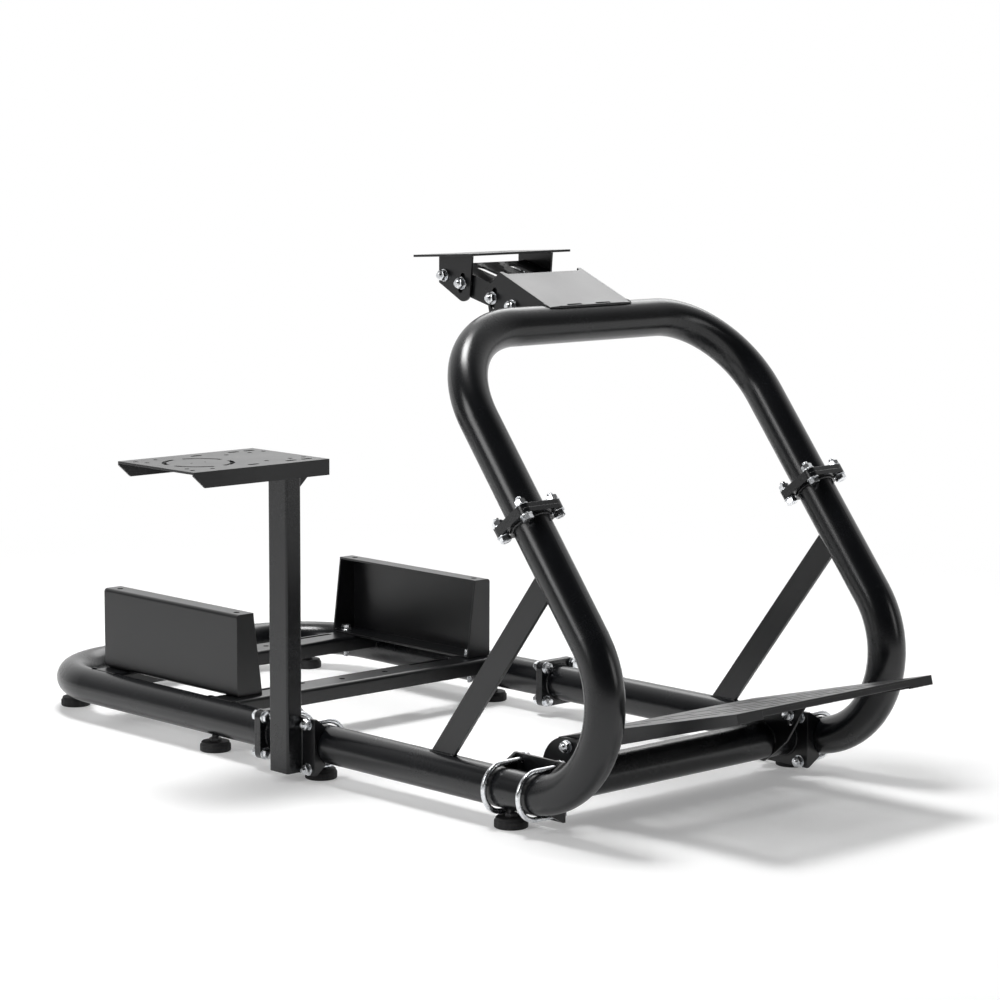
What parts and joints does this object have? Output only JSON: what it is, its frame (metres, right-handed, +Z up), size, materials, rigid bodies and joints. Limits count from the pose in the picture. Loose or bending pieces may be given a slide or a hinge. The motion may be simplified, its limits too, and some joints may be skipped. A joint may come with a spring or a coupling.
{
  "type": "sim racing cockpit",
  "caption": "Round-tube sim racing cockpit frame in three bolted sections, with wheel, pedal and shifter mounts and side brackets for a seat.",
  "frame": {"origin": "on the floor, under the middle of the whole object's box", "axes": "+Z up, -Y toward the pedals, +X toward the driver's left"},
  "size_m": [0.7684, 1.3412, 0.6886],
  "materials": {
    "black_steel": "satin black powder coat",
    "zinc": "bright zinc plate",
    "rubber": "matt"
  },
  "bodies": {
    "frame": {"rear_base_tube": "black_steel", "right_side_tube": "black_steel", "left_side_tube": "black_steel", "top_hoop": "black_steel", "right_brace": "black_steel", "left_brace": "black_steel", "front_seat_crossmember": "black_steel", "rear_seat_crossmember": "black_steel", "right_seat_bracket": "black_steel", "left_seat_bracket": "black_steel", "right_pedal_clamp": "black_steel", "left_pedal_clamp": "black_steel", "pedal_crossbar": "black_steel", "pedal_ears": "black_steel", "wheel_bracket": "black_steel", "shifter_clamp": "black_steel", "shifter_post": "black_steel", "shifter_plate": "black_steel", "shifter_gusset": "black_steel", "foot_studs": "black_steel", "seat_bracket_bolts": "zinc", "base_flange_bolts": "zinc", "leg_flange_bolts": "zinc", "right_pedal_u_bolts": "zinc", "left_pedal_u_bolts": "zinc", "pedal_pivot_bolts": "zinc", "wheel_pivot_bolts": "zinc", "shifter_u_bolts": "zinc", "levelling_feet": "rubber"},
    "wheel_arm": {"wheel_arm": "black_steel", "wheel_arm_bolts": "zinc"},
    "wheel_plate": {"wheel_plate": "black_steel"},
    "pedal_plate": {"pedal_plate": "black_steel", "pedal_lock_bolts": "zinc"}
  },
  "joints": [
    {"name": "wheel_arm_tilt", "type": "hinge", "parent": "frame", "child": "wheel_arm", "pos_m": [0.08875, -0.1704, 0.623], "axis": [1, 0, 0], "range_deg": [-10, 10]},
    {"name": "wheel_plate_tilt", "type": "hinge", "parent": "wheel_arm", "child": "wheel_plate", "pos_m": [0.08875, -0.0394, 0.657], "axis": [1, 0, 0], "range_deg": [-10, 10]},
    {"name": "pedal_plate_tilt", "type": "hinge", "parent": "frame", "child": "pedal_plate", "pos_m": [0.08875, -0.3914, 0.094], "axis": [1, 0, 0], "range_deg": [-6, 14]}
  ]
}
